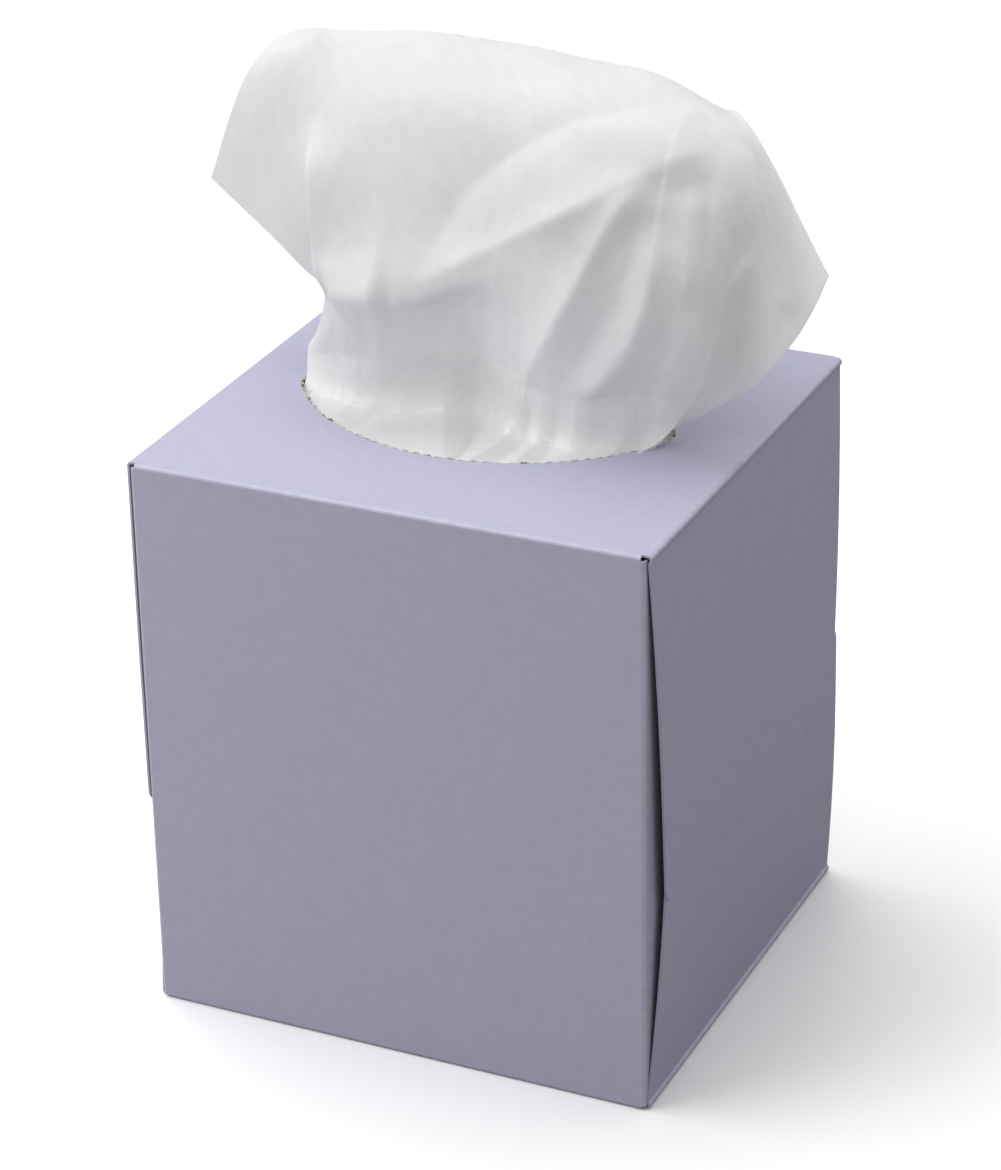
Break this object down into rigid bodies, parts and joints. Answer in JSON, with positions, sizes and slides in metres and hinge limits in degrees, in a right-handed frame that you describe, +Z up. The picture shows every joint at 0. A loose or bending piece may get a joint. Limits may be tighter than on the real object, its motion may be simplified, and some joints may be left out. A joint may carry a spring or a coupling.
{
  "type": "tissue box",
  "caption": "Cube carton of facial tissues: folded lavender board with an oval opening, a slit film under it and one soft white sheet standing out of the slit.",
  "frame": {"origin": "centre of the carton's underside", "axes": "+Z up, -Y out of the carton's front panel, X across the front, along the slit"},
  "size_m": [0.1405, 0.104, 0.1909],
  "materials": {
    "printed_board": "matt varnished folding boxboard, lavender outside and pale grey inside",
    "clear_film": "clear thin plastic film",
    "tissue_paper": "soft white two-ply tissue"
  },
  "bodies": {
    "root": {"carton": "printed_board", "slit_film": "clear_film", "tissue_stack": "tissue_paper", "pop_up_tissue": "tissue_paper"}
  },
  "joints": []
}
